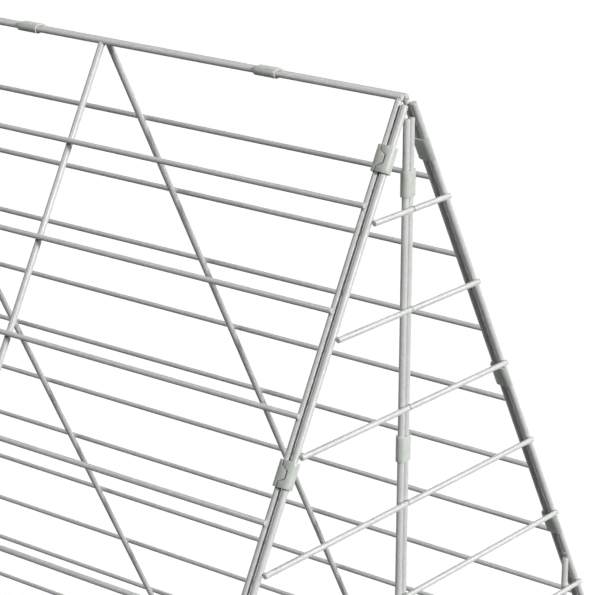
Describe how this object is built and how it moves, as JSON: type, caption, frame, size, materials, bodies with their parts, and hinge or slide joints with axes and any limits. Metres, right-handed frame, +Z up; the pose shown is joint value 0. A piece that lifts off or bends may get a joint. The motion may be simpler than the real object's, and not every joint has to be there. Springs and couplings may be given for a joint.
{
  "type": "folding rabbit run",
  "caption": "Triangular folding rabbit run of galvanised wire panels with split end triangles, sheet sleeve hinges along every edge and a wire side door.",
  "frame": {"origin": "centre of the footprint at ground level", "axes": "+X along the ridge to the near end, -Y to the front panel with the door, +Z up"},
  "size_m": [1.2004, 0.5216, 0.4836],
  "materials": {
    "wire": "bright zinc plated wire, satin",
    "sleeve_sheet": "zinc plated sheet, satin"
  },
  "bodies": {
    "front_panel": {"front_uprights": "wire", "front_top_wire": "wire", "front_bottom_wire": "wire", "front_rungs": "wire", "near_front_leg_sleeves": "sleeve_sheet", "far_front_leg_sleeves": "sleeve_sheet", "door_hinge_sleeves": "sleeve_sheet"},
    "door": {"door_stiles": "wire", "door_rungs": "wire"},
    "latch": {"door_latch": "sleeve_sheet"},
    "ridge": {"ridge_sleeves": "sleeve_sheet"},
    "back_panel": {"back_uprights": "wire", "back_top_wire": "wire", "back_bottom_wire": "wire", "back_rungs": "wire", "near_back_leg_sleeves": "sleeve_sheet", "far_back_leg_sleeves": "sleeve_sheet"},
    "near_front_half": {"near_front_leg": "wire", "near_front_post": "wire", "near_front_upright": "wire", "near_front_bottom_wire": "wire", "near_front_rungs": "wire"},
    "near_back_half": {"near_back_leg": "wire", "near_back_post": "wire", "near_back_upright": "wire", "near_back_bottom_wire": "wire", "near_back_rungs": "wire"},
    "near_post": {"near_post_sleeves": "sleeve_sheet"},
    "far_front_half": {"far_front_leg": "wire", "far_front_post": "wire", "far_front_upright": "wire", "far_front_bottom_wire": "wire", "far_front_rungs": "wire"},
    "far_back_half": {"far_back_leg": "wire", "far_back_post": "wire", "far_back_upright": "wire", "far_back_bottom_wire": "wire", "far_back_rungs": "wire"},
    "far_post": {"far_post_sleeves": "sleeve_sheet"}
  },
  "joints": [
    {"name": "ridge_fold", "type": "hinge", "parent": "front_panel", "child": "back_panel", "pos_m": [0, 0, 0.48156], "axis": [-1, 0, 0], "range_deg": [0, 48.4]},
    {"name": "ridge_sleeve_turn", "type": "hinge", "parent": "front_panel", "child": "ridge", "pos_m": [0, -0.00165, 0.48156], "axis": [-1, 0, 0], "range_deg": [0, 24.2]},
    {"name": "near_front_fold", "type": "hinge", "parent": "front_panel", "child": "near_front_half", "pos_m": [0.59625, -0.00165, 0.48156], "axis": [0, -0.4726, -0.8813], "range_deg": [0, 88.4]},
    {"name": "near_post_fold", "type": "hinge", "parent": "near_front_half", "child": "near_post", "pos_m": [0.59625, -0.00165, 0.2], "axis": [0, 0, 1], "range_deg": [0, 79.9]},
    {"name": "near_back_fold", "type": "hinge", "parent": "near_post", "child": "near_back_half", "pos_m": [0.59625, 0.00165, 0.2], "axis": [0, 0, 1], "range_deg": [0, 79.9]},
    {"name": "far_front_fold", "type": "hinge", "parent": "front_panel", "child": "far_front_half", "pos_m": [-0.59625, -0.00165, 0.48156], "axis": [0, 0.4726, 0.8813], "range_deg": [0, 88.4]},
    {"name": "far_post_fold", "type": "hinge", "parent": "far_front_half", "child": "far_post", "pos_m": [-0.59625, -0.00165, 0.2], "axis": [0, 0, -1], "range_deg": [0, 79.9]},
    {"name": "far_back_fold", "type": "hinge", "parent": "far_post", "child": "far_back_half", "pos_m": [-0.59625, 0.00165, 0.2], "axis": [0, 0, -1], "range_deg": [0, 79.9]},
    {"name": "door_swing", "type": "hinge", "parent": "front_panel", "child": "door", "pos_m": [0.2532, -0.15195, 0.20189], "axis": [0, 0.4726, 0.8813], "range_deg": [0, 80]},
    {"name": "latch_slide", "type": "slide", "parent": "front_panel", "child": "latch", "axis": [0, -0.4726, -0.8813], "range_m": [0, 0.02]}
  ],
  "couplings": [
    {"joint": "ridge_sleeve_turn", "follows": "ridge_fold", "ratio": 0.5},
    {"joint": "near_front_fold", "follows": "ridge_fold", "ratio": 1.825},
    {"joint": "near_post_fold", "follows": "ridge_fold", "ratio": 1.65},
    {"joint": "near_back_fold", "follows": "ridge_fold", "ratio": 1.65},
    {"joint": "far_front_fold", "follows": "ridge_fold", "ratio": 1.825},
    {"joint": "far_post_fold", "follows": "ridge_fold", "ratio": 1.65},
    {"joint": "far_back_fold", "follows": "ridge_fold", "ratio": 1.65}
  ]
}
